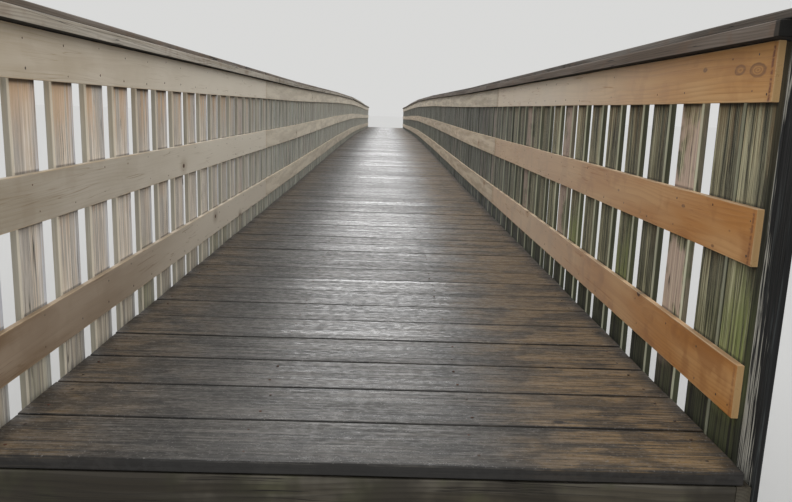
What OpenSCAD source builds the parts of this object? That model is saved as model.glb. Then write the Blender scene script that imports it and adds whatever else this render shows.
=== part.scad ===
// Timber footbridge: a gently cambered deck of cross planks on notched pile bents,
// between two picket fences that each have three rails and a flat two-board cap.
// Millimetres. X runs across the bridge, Y along it and Z up, with the ground at Z = 0.
// Inside the modules, y is counted from the near end and z from the deck's top there.

/* [Span] */
// Length of one bay, from bent line to bent line
bay_len = 6270; // [4000:10:6600]
// How far the crest of the deck stands above its two ends
camber = 120; // [0:10:300]
// Height of the deck above the ground at its ends
deck_height = 1100; // [900:10:2500]

/* [Deck] */
// Clear width between the rails, which is the length of a plank
deck_w = 1829; // [1400:1:2440]
// Width of a plank
plank_w = 229; // [140:1:286]
// Thickness of a plank
plank_t = 38; // [25:1:64]
// Least gap between neighbouring planks
plank_gap = 3; // [2:0.5:10]

/* [Rails] */
// Thickness of a rail
rail_t = 19; // [16:1:45]
// Height of a rail
rail_h = 140; // [89:1:184]
// Gap between the deck and the bottom rail
bottom_rail_z = 90; // [50:5:150]
// Rise from one rail to the next
rail_rise = 385; // [250:5:450]
// Longest length that a rail comes in
rail_stock = 4270; // [2400:10:6000]
// How far the rails stop short of the deck's end
rail_inset = 104; // [60:1:130]
// Gap where two lengths of one board meet
butt_gap = 3; // [1:0.5:6]

/* [Caps] */
// Width of the cap board that lies over the top rail and the pickets
cap_w = 140; // [120:1:184]
// Thickness of the cap board
cap_t = 38; // [19:1:64]
// How far the cap board stands in over the deck past the rails
cap_overhang = 32; // [10:1:45]
// How far the cap boards stop short of the deck's end
cap_inset = 52; // [10:1:100]
// Longest length that a cap board comes in
cap_stock = 4880; // [2400:10:6000]
// Width of the batten on the cap board
batten_w = 89; // [64:1:110]
// Thickness of the batten
batten_t = 25; // [12:1:38]
// Longest length that a batten comes in
batten_stock = 4270; // [2400:10:6000]
// How far the battens stop short of the deck's end
batten_inset = 25; // [5:1:50]

/* [Pickets] */
// Width of a picket
picket_w = 140; // [89:1:184]
// Thickness of a picket
picket_t = 25; // [16:1:45]
// Widest gap between neighbouring pickets
picket_gap = 103; // [60:1:150]
// Gap between an end upright and the picket beside it
first_gap = 25; // [5:1:60]
// The same gap at the left fence's near end
left_first_gap = 10; // [5:1:60]
// Gap between the right fence's doubled picket and the run that follows it
doubled_gap = 17; // [3:1:60]
// How far the pickets lap down over the rim board
picket_lap = 200; // [100:5:280]
// Clearance over a picket's square-cut top
picket_top_gap = 1.5; // [1:0.5:5]
// Width of the upright at each end of a fence
upright_w = 89; // [64:1:140]
// Thickness of the upright
upright_t = 19; // [16:1:45]
// How far the upright stands in from the deck's end
upright_inset = 0; // [0:1:20]

/* [Framing] */
// Thickness of a stringer
stringer_t = 89; // [38:1:140]
// Height of a stringer
stringer_h = 286; // [235:1:340]
// Thickness of a rim board
rim_t = 38; // [25:1:50]
// Height of a rim board
rim_h = 286; // [235:1:340]
// Thickness of the header across the stringers' ends
header_t = 38; // [25:1:64]
// Thickness of a block between the stringers over a bent
block_t = 38; // [25:1:64]
// Height of a block
block_h = 235; // [140:1:235]

/* [Bents] */
// Diameter of a pile at the ground
pile_foot_d = 240; // [200:5:320]
// Diameter of a pile at its head
pile_head_d = 270; // [220:5:340]
// Depth of the two notches that seat the cap beams
notch_depth = 45; // [25:1:60]
// Thickness of a cap beam
cap_beam_t = 89; // [50:1:120]
// Height of a cap beam
cap_beam_h = 235; // [140:1:286]
// How far a cap beam runs out past the fence's line
cap_beam_overhang = 30; // [10:1:60]
// From a cap beam's end in to the pile's centre
pile_inset = 360; // [250:5:450]
// How far the end bents stand in from the deck's ends
end_bent_inset = 300; // [250:5:600]
// Play between a stringer and the cap beams under it
seat_gap = 0.3; // [0.1:0.1:0.8]

/* [Hidden] */
bays = 6;
span = bays * bay_len;
// The plane that the rails and rim boards meet from inside and the pickets from outside
fence_x = deck_w / 2 + rail_t;
top_rail_z = bottom_rail_z + 2 * rail_rise;
cap_z = top_rail_z + rail_h;
cap_x = deck_w / 2 - cap_overhang;
planks_a_bay = floor(bay_len / (plank_w + plank_gap));
plank_pitch = bay_len / planks_a_bay;
first_picket = upright_inset + upright_w + first_gap;
left_first_picket = upright_inset + upright_w + left_first_gap;
picket_after_double = first_picket + picket_w + doubled_gap;
last_picket = span - first_picket - picket_w;
rim_x = fence_x - rim_t;
outer_stringer_x = rim_x - stringer_t;
inner_stringer_x = (rim_x - stringer_t / 2) / 3 - stringer_t / 2;
framing_z = -plank_t - stringer_h;
tongue_t = pile_head_d - 2 * notch_depth;
bent_reach = tongue_t / 2 + cap_beam_t;
cap_beam_end = fence_x + cap_beam_overhang;
pile_x = cap_beam_end - pile_inset;

deck_grey = [0.42, 0.38, 0.34];
fresh_wood = [0.70, 0.50, 0.32];
tan_wood = [0.62, 0.53, 0.42];
olive_wood = [0.42, 0.41, 0.33];
pale_wood = [0.66, 0.61, 0.52];
cap_grey = [0.50, 0.48, 0.45];
dark_wood = [0.20, 0.19, 0.18];
frame_wood = [0.47, 0.42, 0.34];
pile_wood = [0.38, 0.33, 0.27];

// Height of the deck's line above its ends, at bent line k
function crest_at_bent(k) = camber * (1 - cos(360 * k / bays)) / 2;

// The deck runs straight from one bent line to the next
function bay_of(y) = min(max(floor(y / bay_len), 0), bays - 1);
function rise_at(y) =
    let (k = bay_of(y), part = y / bay_len - k)
    crest_at_bent(k) * (1 - part) + crest_at_bent(k + 1) * part;

// The end bents stand a little inside the span
function bent_y(k) = min(max(k * bay_len, end_bent_inset), span - end_bent_inset);

// A bent's cap beams are level, so they meet the lower of the slopes over them
function bent_top(k) =
    min(rise_at(bent_y(k) - bent_reach), rise_at(bent_y(k) + bent_reach)) + framing_z - seat_gap;

// From the near end's deck line to the part's own frame
module placed() {
    translate([0, -span / 2, deck_height]) children();
}

module on_left() {
    mirror([1, 0, 0]) children();
}

// A board laid along the bridge: from y0 to y1, x to x + t, with its underside z over the deck line
module laid_board(y0, y1, x, t, z, h) {
    bends = [for (k = [1:bays - 1]) if (k * bay_len > y0 && k * bay_len < y1) k * bay_len];
    under = concat([y0], bends, [y1]);
    over = [for (i = [len(under) - 1:-1:0]) under[i]];
    translate([x, 0, 0])
        rotate([90, 0, 90])
            linear_extrude(t)
                polygon(concat(
                    [for (y = under) [y, rise_at(y) + z]],
                    [for (y = over) [y, rise_at(y) + z + h]]
                ));
}

// A run of such boards end to end, in equal lengths no longer than the stock
module board_run(y0, y1, stock, x, t, z, h) {
    lengths = ceil((y1 - y0) / stock);
    step = (y1 - y0 + butt_gap) / lengths;
    for (i = [0:lengths - 1])
        laid_board(y0 + i * step, y0 + (i + 1) * step - butt_gap, x, t, z, h);
}

// Framing lengths that end on each bent line
module bay_run(end_gap, x, t, z, h) {
    for (b = [0:bays - 1])
        laid_board(
            b == 0 ? end_gap : b * bay_len + butt_gap / 2,
            b == bays - 1 ? span - end_gap : (b + 1) * bay_len - butt_gap / 2,
            x, t, z, h
        );
}

module deck_bay(b) {
    edge = b * bay_len + (plank_pitch - plank_w) / 2;
    color(deck_grey)
        placed()
            for (i = [0:planks_a_bay - 1])
                laid_board(
                    edge + i * plank_pitch, edge + i * plank_pitch + plank_w,
                    -deck_w / 2, deck_w, -plank_t, plank_t
                );
}

module rail_line(level) {
    board_run(
        rail_inset, span - rail_inset, rail_stock,
        deck_w / 2, rail_t, bottom_rail_z + level * rail_rise, rail_h
    );
}

module cap_board_line() {
    board_run(cap_inset, span - cap_inset, cap_stock, cap_x, cap_w, cap_z, cap_t);
}

module batten_line() {
    board_run(
        batten_inset, span - batten_inset, batten_stock,
        cap_x + (cap_w - batten_w) / 2, batten_w, cap_z + cap_t, batten_t
    );
}

// A plumb board on the fence line's outer side, from its lap on the rim board up to the cap
module fence_upright(y, w, t) {
    foot = -plank_t - picket_lap;
    translate([fence_x, y, rise_at(y + w / 2) + foot])
        cube([t, w, cap_z - picket_top_gap - foot]);
}

// The pickets whose middles stand in bay b, of a run spread evenly up to the far end's upright
module picket_bay(b, start) {
    steps = ceil((last_picket - start) / (picket_w + picket_gap));
    pitch = (last_picket - start) / steps;
    for (i = [0:steps])
        if (bay_of(start + i * pitch + picket_w / 2) == b)
            fence_upright(start + i * pitch, picket_w, picket_t);
}

module left_picket_bay(b) {
    color(pale_wood)
        placed()
            on_left()
                picket_bay(b, left_first_picket);
}

module right_picket_bay(b) {
    color(olive_wood)
        placed() {
            picket_bay(b, picket_after_double);
            if (b == 0)
                fence_upright(first_picket, picket_w, picket_t);
        }
}

module end_upright_pair() {
    fence_upright(upright_inset, upright_w, upright_t);
    fence_upright(span - upright_inset - upright_w, upright_w, upright_t);
}

module rim_line() {
    bay_run(0, rim_x, rim_t, -plank_t - rim_h, rim_h);
}

module stringer_line(x) {
    bay_run(header_t, x, stringer_t, framing_z, stringer_h);
}

module left_bottom_rails() {
    color(tan_wood) placed() on_left() rail_line(0);
}

module left_middle_rails() {
    color(tan_wood) placed() on_left() rail_line(1);
}

module left_top_rails() {
    color(tan_wood) placed() on_left() rail_line(2);
}

module right_bottom_rails() {
    color(fresh_wood) placed() rail_line(0);
}

module right_middle_rails() {
    color(fresh_wood) placed() rail_line(1);
}

module right_top_rails() {
    color(fresh_wood) placed() rail_line(2);
}

module left_cap_boards() {
    color(cap_grey) placed() on_left() cap_board_line();
}

module right_cap_boards() {
    color(cap_grey) placed() cap_board_line();
}

module left_cap_battens() {
    color(cap_grey) placed() on_left() batten_line();
}

module right_cap_battens() {
    color(cap_grey) placed() batten_line();
}

module left_end_uprights() {
    color(dark_wood) placed() on_left() end_upright_pair();
}

module right_end_uprights() {
    color(dark_wood) placed() end_upright_pair();
}

module left_rim_boards() {
    color(frame_wood) placed() on_left() rim_line();
}

module right_rim_boards() {
    color(frame_wood) placed() rim_line();
}

module left_outer_stringers() {
    color(frame_wood) placed() on_left() stringer_line(outer_stringer_x);
}

module right_outer_stringers() {
    color(frame_wood) placed() stringer_line(outer_stringer_x);
}

module inner_stringers() {
    color(frame_wood)
        placed() {
            stringer_line(inner_stringer_x);
            on_left() stringer_line(inner_stringer_x);
        }
}

// Blocks fill the three spaces between the stringers and stand on each bent
module stringer_blocks() {
    side_space = outer_stringer_x - inner_stringer_x - stringer_t;
    color(frame_wood)
        placed()
            for (k = [0:bays])
                translate([0, bent_y(k) - block_t / 2, bent_top(k)]) {
                    translate([-inner_stringer_x, 0, 0])
                        cube([2 * inner_stringer_x, block_t, block_h]);
                    translate([inner_stringer_x + stringer_t, 0, 0])
                        cube([side_space, block_t, block_h]);
                    translate([-outer_stringer_x, 0, 0])
                        cube([side_space, block_t, block_h]);
                }
}

module end_headers() {
    color(frame_wood)
        placed()
            for (y = [0, span - header_t])
                translate([-rim_x, y, framing_z])
                    cube([2 * rim_x, header_t, stringer_h]);
}

// Each bent's two cap beams clasp the tongues of its piles
module cap_beams() {
    color(frame_wood)
        placed()
            for (k = [0:bays])
                for (y = [-bent_reach, tongue_t / 2])
                    translate([-cap_beam_end, bent_y(k) + y, bent_top(k) - cap_beam_h])
                        cube([2 * cap_beam_end, cap_beam_t, cap_beam_h]);
}

// A round pile, thicker at its head, with a notch cut from each side to leave a tongue
module pile(top) {
    shoulder = top - cap_beam_h;
    difference() {
        cylinder(h = top, d1 = pile_foot_d, d2 = pile_head_d, $fn = 64);
        for (side = [0, 180])
            rotate([0, 0, side])
                translate([-pile_head_d, tongue_t / 2, shoulder])
                    cube([2 * pile_head_d, pile_head_d, 2 * cap_beam_h]);
    }
}

module pile_pair(k) {
    color(pile_wood)
        translate([0, bent_y(k) - span / 2, 0])
            for (side = [-1, 1])
                translate([side * pile_x, 0, 0])
                    pile(deck_height + bent_top(k));
}

deck_bay(0);  // deck_planks_1
deck_bay(1);  // deck_planks_2
deck_bay(2);  // deck_planks_3
deck_bay(3);  // deck_planks_4
deck_bay(4);  // deck_planks_5
deck_bay(5);  // deck_planks_6
left_picket_bay(0);  // left_pickets_1
left_picket_bay(1);  // left_pickets_2
left_picket_bay(2);  // left_pickets_3
left_picket_bay(3);  // left_pickets_4
left_picket_bay(4);  // left_pickets_5
left_picket_bay(5);  // left_pickets_6
right_picket_bay(0);  // right_pickets_1
right_picket_bay(1);  // right_pickets_2
right_picket_bay(2);  // right_pickets_3
right_picket_bay(3);  // right_pickets_4
right_picket_bay(4);  // right_pickets_5
right_picket_bay(5);  // right_pickets_6
left_bottom_rails();
left_middle_rails();
left_top_rails();
right_bottom_rails();
right_middle_rails();
right_top_rails();
left_cap_boards();
right_cap_boards();
left_cap_battens();
right_cap_battens();
left_end_uprights();
right_end_uprights();
left_rim_boards();
right_rim_boards();
left_outer_stringers();
right_outer_stringers();
inner_stringers();
stringer_blocks();
end_headers();
cap_beams();
pile_pair(0);  // bent_piles_1
pile_pair(1);  // bent_piles_2
pile_pair(2);  // bent_piles_3
pile_pair(3);  // bent_piles_4
pile_pair(4);  // bent_piles_5
pile_pair(5);  // bent_piles_6
pile_pair(6);  // bent_piles_7
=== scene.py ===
"""A cambered timber footbridge: worn boards, weathered finishes, nails, bolts and a plain studio round it."""

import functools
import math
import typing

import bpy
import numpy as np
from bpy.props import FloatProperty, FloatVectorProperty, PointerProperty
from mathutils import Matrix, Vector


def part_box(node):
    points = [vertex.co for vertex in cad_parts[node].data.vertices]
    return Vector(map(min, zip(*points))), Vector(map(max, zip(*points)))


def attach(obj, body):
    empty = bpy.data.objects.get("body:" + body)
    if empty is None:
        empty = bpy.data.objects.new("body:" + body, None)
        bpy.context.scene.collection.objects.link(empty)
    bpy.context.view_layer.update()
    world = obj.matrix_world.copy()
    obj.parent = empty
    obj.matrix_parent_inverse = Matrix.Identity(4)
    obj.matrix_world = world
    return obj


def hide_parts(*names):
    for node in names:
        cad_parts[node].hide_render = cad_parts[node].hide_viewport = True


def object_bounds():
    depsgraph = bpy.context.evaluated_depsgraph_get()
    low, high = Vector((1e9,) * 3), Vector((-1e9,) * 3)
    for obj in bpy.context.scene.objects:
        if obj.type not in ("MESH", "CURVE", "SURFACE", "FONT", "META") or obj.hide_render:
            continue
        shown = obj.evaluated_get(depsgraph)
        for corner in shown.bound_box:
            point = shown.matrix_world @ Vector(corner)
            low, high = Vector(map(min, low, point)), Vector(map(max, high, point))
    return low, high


bl_info = {
    "name": "Weathered Footbridge",
    "version": (1, 0, 0),
    "blender": (4, 5, 0),
    "location": "3D View > Sidebar > Footbridge",
    "description": "Dresses a timber footbridge with worn boards, weathered finishes, nails and bolts",
    "category": "Object",
}

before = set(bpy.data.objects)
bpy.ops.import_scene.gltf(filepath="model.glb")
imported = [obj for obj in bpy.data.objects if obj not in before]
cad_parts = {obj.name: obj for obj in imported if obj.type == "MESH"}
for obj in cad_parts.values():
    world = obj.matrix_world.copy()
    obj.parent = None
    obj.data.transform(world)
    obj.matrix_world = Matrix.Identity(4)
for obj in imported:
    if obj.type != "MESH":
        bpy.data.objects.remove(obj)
cad_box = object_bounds()

BAYS = range(1, 7)
BENTS = range(1, 8)
SIDES = ("left", "right")
LEVELS = ("bottom", "middle", "top")
MM = 0.001
PLANK_THICKNESS = 38 * MM
BATTEN_THICKNESS = 25 * MM

# How each kind of timber lies: the axes of its length, its width and its thickness
ACROSS_FLAT = (0, 1, 2)
ACROSS_ON_EDGE = (0, 2, 1)
ALONG_ON_EDGE = (1, 2, 0)
ALONG_FLAT = (1, 0, 2)
UPRIGHT = (2, 1, 0)
UPRIGHT_ROUND = (2, 0, 1)

# Each group of pieces draws its wear and its uneven places from a seed of its own
DECK_SEED = 100
RAIL_SEED = 200
PICKET_SEED = 300
CAP_SEED = 400
UPRIGHT_SEED = 500
GROOVE_SEED = 510
FRAMING_SEED = 600
PILE_SEED = 700
PILE_CHECK_SEED = 720
NAIL_SEED = 800


# Sizes and places taken from the frame

def coordinates(mesh):
    """A mesh's vertices as an array of points."""
    points = np.empty(len(mesh.vertices) * 3)
    mesh.vertices.foreach_get("co", points)
    return points.reshape(-1, 3)


def edge_ends(mesh):
    """The vertex at one end of each edge of a mesh, and at the other."""
    ends = np.empty(len(mesh.edges) * 2, dtype=np.int64)
    mesh.edges.foreach_get("vertices", ends)
    return ends[0::2], ends[1::2]


def joined_numbers(count, first, second):
    """Numbers the groups that pairs of joined points make."""
    label = np.arange(count)
    while True:
        lower = np.minimum(label[first], label[second])
        new = label.copy()
        np.minimum.at(new, first, lower)
        np.minimum.at(new, second, lower)
        new = new[new]
        if (new == label).all():
            return np.unique(label, return_inverse=True)[1]
        label = new


def corners_by_number(points, numbers):
    """The lowest and highest corner of each numbered group of points."""
    count = numbers.max() + 1
    low = np.full((count, 3), np.inf)
    high = np.full((count, 3), -np.inf)
    np.minimum.at(low, numbers, points)
    np.maximum.at(high, numbers, points)
    return low, high


@functools.lru_cache(maxsize=None)
def solid_boxes(node):
    """The lowest and highest corner of each separate solid in a node."""
    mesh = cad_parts[node].data
    points = coordinates(mesh)
    welded = np.unique(points.round(5), axis=0, return_inverse=True)[1].ravel()
    first, second = edge_ends(mesh)
    numbers = joined_numbers(welded.max() + 1, welded[first], welded[second])
    return corners_by_number(points, numbers[welded])


def nearest_solid(node):
    """Where the solid at a node's near end starts and ends along the bridge."""
    lows, highs = solid_boxes(node)
    first = np.argmin(lows[:, 1])
    return float(lows[first, 1]), float(highs[first, 1])


def deck_line_points():
    """The rim boards' tops along the bridge: where they lie, and how high."""
    tops = {}
    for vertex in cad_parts["right_rim_boards"].data.vertices:
        y = round(vertex.co.y, 5)
        tops[y] = max(tops.get(y, vertex.co.z), vertex.co.z)
    return np.array(sorted(tops)), np.array([tops[y] for y in sorted(tops)])


LINE_Y, LINE_Z = deck_line_points()


def line_at(y):
    """Height of the cambered line under the planks, at a place along the bridge."""
    return np.interp(y, LINE_Y, LINE_Z)


def rail_band(side, level):
    """A rail's lower and upper edge, as heights over the line under the planks."""
    points = coordinates(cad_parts[f"{side}_{level}_rails"].data)
    end = points[points[:, 1] < points[:, 1].min() + 1 * MM]
    base = line_at(end[0, 1])
    return end[:, 2].min() - base, end[:, 2].max() - base


def picket_middle(side):
    """The height of a picket's middle over the line under the planks."""
    lows, highs = solid_boxes(f"{side}_pickets_1")
    return (lows[0, 2] + highs[0, 2]) / 2 - line_at((lows[0, 1] + highs[0, 1]) / 2)


NEAR_END = cad_box[0].y


# Settings that a user would change

def length_setting(name, description, default, **limits):
    """A length in metres."""
    return FloatProperty(name=name, description=description, default=default, unit="LENGTH", **limits)


def angle_setting(name, description, degrees):
    """An angle, given in degrees."""
    return FloatProperty(name=name, description=description, default=math.radians(degrees), subtype="ANGLE")


def strength_setting(name, description, default):
    """The strength of a light."""
    return FloatProperty(name=name, description=description, default=default, min=0.0)


def colour_setting(name, description, default):
    """A colour as it looks on screen."""
    return FloatVectorProperty(
        name=name, description=description, default=default, min=0.0, max=1.0, size=3, subtype="COLOR_GAMMA")


class BoardSettings(bpy.types.PropertyGroup):
    """How the boards are eased and how far they have moved as they dried."""

    arris: length_setting(
        "Arris", "Radius of the worn edges of a plank or cap board", 3.5 * MM, min=0.5 * MM, max=8 * MM)
    thin_arris: length_setting(
        "Thin arris", "Radius of the edges of a rail, picket or framing timber",
        1.6 * MM, min=0.5 * MM, max=4 * MM)
    plank_cup: length_setting(
        "Plank cup", "How far a plank's edges stand over or under its middle", 1.3 * MM, min=0.0, max=4 * MM)
    plank_step: length_setting(
        "Plank step", "How far a plank may lie under its neighbours", 2.4 * MM, min=0.0, max=4 * MM)
    fence_bow: length_setting(
        "Fence bow", "How far a fence board bows out of its plane", 0.4 * MM, min=0.0, max=3 * MM)
    edge_wander: length_setting(
        "Edge wander", "How far a board's edges wander along its length", 1.0 * MM, min=0.0, max=3 * MM)


class FixingSettings(bpy.types.PropertyGroup):
    """Sizes of the nails and bolts."""

    nail_radius: length_setting(
        "Nail head", "Radius of a nail's head", 4.2 * MM, min=2 * MM, max=8 * MM)
    nail_spread: length_setting(
        "Nail spread", "Distance of a pair of nails from the middle of the rail",
        42 * MM, min=20 * MM, max=60 * MM)
    bolt_radius: length_setting(
        "Bolt head", "Radius of a bolt's hexagonal nut, over its corners", 15 * MM, min=8 * MM, max=25 * MM)
    bolt_spread: length_setting(
        "Bolt spread", "Distance of the two bolts of a pile from the beam's middle",
        60 * MM, min=30 * MM, max=90 * MM)


class ColourSettings(bpy.types.PropertyGroup):
    """The main colour of each timber, as it looks on screen."""

    right_rail: colour_setting("Right rails", "Fairly fresh orange-brown pine", (0.70, 0.47, 0.21))
    left_rail: colour_setting("Left rails", "Beige-brown pine", (0.65, 0.60, 0.52))
    left_low_rail: colour_setting("Left bottom rail", "Browner pine near the deck", (0.49, 0.40, 0.30))
    right_picket: colour_setting("Right pickets", "Olive-grey weathered boards", (0.43, 0.41, 0.31))
    left_picket: colour_setting("Left pickets", "Pale weathered boards", (0.81, 0.755, 0.68))
    cap: colour_setting("Caps", "Grey weathered cap boards", (0.49, 0.45, 0.40))
    batten: colour_setting("Battens", "Darker, rougher battens", (0.32, 0.285, 0.25))
    upright: colour_setting("End uprights", "Nearly black boards", (0.10, 0.10, 0.10))
    deck: colour_setting("Deck", "Dark taupe planks", (0.275, 0.258, 0.235))
    framing: colour_setting("Framing", "Greenish-brown framing timber", (0.45, 0.41, 0.33))
    pile: colour_setting("Piles", "Brown-grey round timber", (0.40, 0.35, 0.28))
    steel: colour_setting("Steel", "Dull steel of nails and bolts", (0.34, 0.32, 0.30))


class StageSettings(bpy.types.PropertyGroup):
    """The camera, the lamps and the floor."""

    camera_right: length_setting(
        "Camera right", "How far the camera stands right of the deck's middle", 36.2 * MM)
    camera_back: length_setting(
        "Camera back", "How far the camera stands before the deck's near end", 1568.6 * MM)
    camera_height: length_setting(
        "Camera height", "Height of the camera over the deck's near end", 810.6 * MM)
    turn: angle_setting("Turn", "Camera's turn about the vertical", -1.108)
    tilt: angle_setting("Tilt", "Camera's tilt up from straight down", 79.127)
    roll: angle_setting("Roll", "Camera's roll about its own view line", 1.948)
    lens: FloatProperty(
        name="Lens", description="Focal length on a 36 mm wide sensor", default=32.79, min=10.0,
        unit="CAMERA")
    sky: strength_setting("Sky", "Strength of the even light from all round", 0.68)
    far_lamp: strength_setting("Far lamp", "Strength of the soft lamp beyond the far end, to the left", 1.0)
    low_lamp: strength_setting("Low lamp", "Strength of the low lamp that brings out the deck's sheen", 0.40)
    near_lamp: strength_setting("Near lamp", "Strength of the soft lamp behind the camera, to the right", 1.1)
    floor: colour_setting("Floor", "Pale studio floor", (0.765, 0.765, 0.76))
    backdrop: colour_setting(
        "Backdrop", "Pale surroundings as the camera sees them", (0.85, 0.85, 0.845))


SETTING_GROUPS = {
    "footbridge_boards": BoardSettings,
    "footbridge_fixings": FixingSettings,
    "footbridge_colours": ColourSettings,
    "footbridge_stage": StageSettings,
}


# Colours, all as they look on screen until a shader graph takes them

RAIL_KNOT = (0.30, 0.19, 0.12)
RAIL_KNOT_RIM = (0.40, 0.26, 0.15)
RAIL_RUST = (0.40, 0.20, 0.10)
RAIL_UPPER_EDGE_WEAR_AND_HIGHLIGHT = (0.70, 0.62, 0.50)
RAIL_WORN_ARRIS = (0.80, 0.70, 0.56)
RAIL_CUT_END = (0.80, 0.66, 0.46)
RAIL_HAZE_LIGHT = (0.84, 0.81, 0.75)
RAIL_AGED_DARK = (0.62, 0.565, 0.48)
RAIL_AGED_LIGHT = (0.80, 0.755, 0.67)
PICKET_EDGE_HIGHLIGHT = (0.76, 0.79, 0.84)
PICKET_ALGAE = (0.48, 0.52, 0.27)
PICKET_KNOT = (0.20, 0.15, 0.11)
PICKET_CHECK = (0.09, 0.08, 0.07)
PICKET_SHADE_AND_DIRT = (0.10, 0.09, 0.07)
CAP_STAIN = (0.42, 0.31, 0.22)
CAP_KNOT = (0.22, 0.18, 0.15)
CAP_CHECK = (0.09, 0.08, 0.07)
CAP_ROTTEN_END = (0.12, 0.11, 0.09)
CAP_SHADED_END_GRAIN = (0.07, 0.065, 0.055)
CAP_UNDER_SHADE = (0.05, 0.045, 0.04)
DECK_SCUFFED = (0.47, 0.455, 0.44)
DECK_BROWN = (0.49, 0.39, 0.245)
DECK_JOINT_AND_SIDE_SHADE = (0.07, 0.06, 0.05)
DECK_GUTTER = (0.13, 0.11, 0.09)
DECK_KNOT = (0.14, 0.11, 0.09)
DECK_CHECK = (0.05, 0.045, 0.04)
DECK_DIRT = (0.18, 0.155, 0.13)
FRAMING_GREEN = (0.36, 0.38, 0.24)
FRAMING_KNOT = (0.20, 0.15, 0.10)
FRAMING_CHECK = (0.10, 0.08, 0.06)
FRAMING_DIRT = (0.14, 0.12, 0.09)
UPRIGHT_STREAK = (0.30, 0.32, 0.32)
UPRIGHT_BARE = (0.66, 0.65, 0.61)
UPRIGHT_CHECK = (0.03, 0.03, 0.03)
PILE_FOOT = (0.17, 0.16, 0.10)
PILE_CHECK = (0.07, 0.06, 0.05)
STEEL_RUST = (0.30, 0.16, 0.09)


def scaled(colour, red, green=None, blue=None):
    """A colour times one factor, or times one each for its red, green and blue."""
    if green is None:
        green = blue = red
    return (colour[0] * red, colour[1] * green, colour[2] * blue)


def paler(colour, share):
    """A colour moved a share of the way to white."""
    return tuple(c + (1 - c) * share for c in colour)


def linear(colour):
    """A colour as it looks on screen, turned into the light that it reflects."""
    parts = [c / 12.92 if c <= 0.04045 else ((c + 0.055) / 1.055) ** 2.4 for c in colour]
    return (*parts, 1.0)


# Shader graphs

class Graph:
    """Adds nodes to one tree. A socket given for an input is linked, and a plain value is set on it."""

    def __init__(self, tree):
        self.tree = tree

    def plug(self, socket, value):
        if isinstance(value, bpy.types.NodeSocket):
            self.tree.links.new(value, socket)
        else:
            socket.default_value = value

    def add(self, kind, *values, **settings):
        """Adds a node with its settings made, and plugs the values into its first inputs."""
        node = self.tree.nodes.new(kind)
        for name, value in settings.items():
            setattr(node, name, value)
        for socket, value in zip(node.inputs, values):
            self.plug(socket, value)
        return node

    def math(self, operation, *values):
        return self.add("ShaderNodeMath", *values, operation=operation).outputs[0]

    def times(self, first, second):
        return self.math("MULTIPLY", first, second)

    def plus(self, first, second):
        return self.math("ADD", first, second)

    def minus(self, first, second):
        return self.math("SUBTRACT", first, second)

    def absolute(self, value):
        return self.math("ABSOLUTE", value)

    def pushed(self, value, pattern, amount):
        """The value, pushed by a pattern times an amount, which makes an edge uneven."""
        return self.math("MULTIPLY_ADD", pattern, amount, value)

    def length(self, x, y):
        """How far a point lies from the middle."""
        return self.math("SQRT", self.plus(self.math("POWER", x, 2.0), self.math("POWER", y, 2.0)))

    def vector(self, operation, *values):
        return self.add("ShaderNodeVectorMath", *values, operation=operation).outputs["Vector"]

    def parts(self, vector):
        return self.add("ShaderNodeSeparateXYZ", vector).outputs

    def joined(self, x, y, z):
        return self.add("ShaderNodeCombineXYZ", x, y, z).outputs[0]

    def noise(self, vector, stretch, detail=2.0, roughness=0.5):
        """A noise with a number of waves a metre along each axis."""
        node = self.add("ShaderNodeTexNoise")
        self.plug(node.inputs["Vector"], self.vector("MULTIPLY", vector, stretch))
        self.plug(node.inputs["Scale"], 1.0)
        self.plug(node.inputs["Detail"], detail)
        self.plug(node.inputs["Roughness"], roughness)
        return node.outputs[0]

    def step(self, value, start, end, low=0.0, high=1.0):
        """Low up to the start, high from the end on, and smooth between. The start may lie past the end."""
        return self.add(
            "ShaderNodeMapRange", value, start, end, low, high, interpolation_type="SMOOTHSTEP").outputs[0]

    def mix(self, share, under, over, blend="MIX"):
        """One colour laid over another by a share. Each is a socket, or a colour as it looks on screen."""
        node = self.add("ShaderNodeMix", share, data_type="RGBA", blend_type=blend)
        for socket, colour in ((node.inputs[6], under), (node.inputs[7], over)):
            self.plug(socket, colour if isinstance(colour, bpy.types.NodeSocket) else linear(colour))
        return node.outputs[2]

    def group(self, tree, **inputs):
        node = self.add("ShaderNodeGroup", node_tree=tree)
        for name, value in inputs.items():
            self.plug(node.inputs[name.replace("_", " ").title()], value)
        return node.outputs


def new_group(name, vectors_in, values_in, vectors_out, values_out):
    """A shader node group with named sockets: its graph, its inputs and the node that takes its outputs."""
    tree = bpy.data.node_groups.new(name, "ShaderNodeTree")
    for in_out, kind, labels in (
            ("INPUT", "Vector", vectors_in), ("INPUT", "Float", values_in),
            ("OUTPUT", "Vector", vectors_out), ("OUTPUT", "Float", values_out)):
        for label in labels:
            tree.interface.new_socket(name=label, in_out=in_out, socket_type="NodeSocket" + kind)
    graph = Graph(tree)
    return graph, graph.add("NodeGroupInput").outputs, graph.add("NodeGroupOutput").inputs


def own_place(graph, into, spread):
    """A place in the board, moved by the board's mark so that no two boards are alike."""
    return graph.vector("ADD", into["Grain"], graph.vector("MULTIPLY", into["Mark"], spread))


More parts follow.
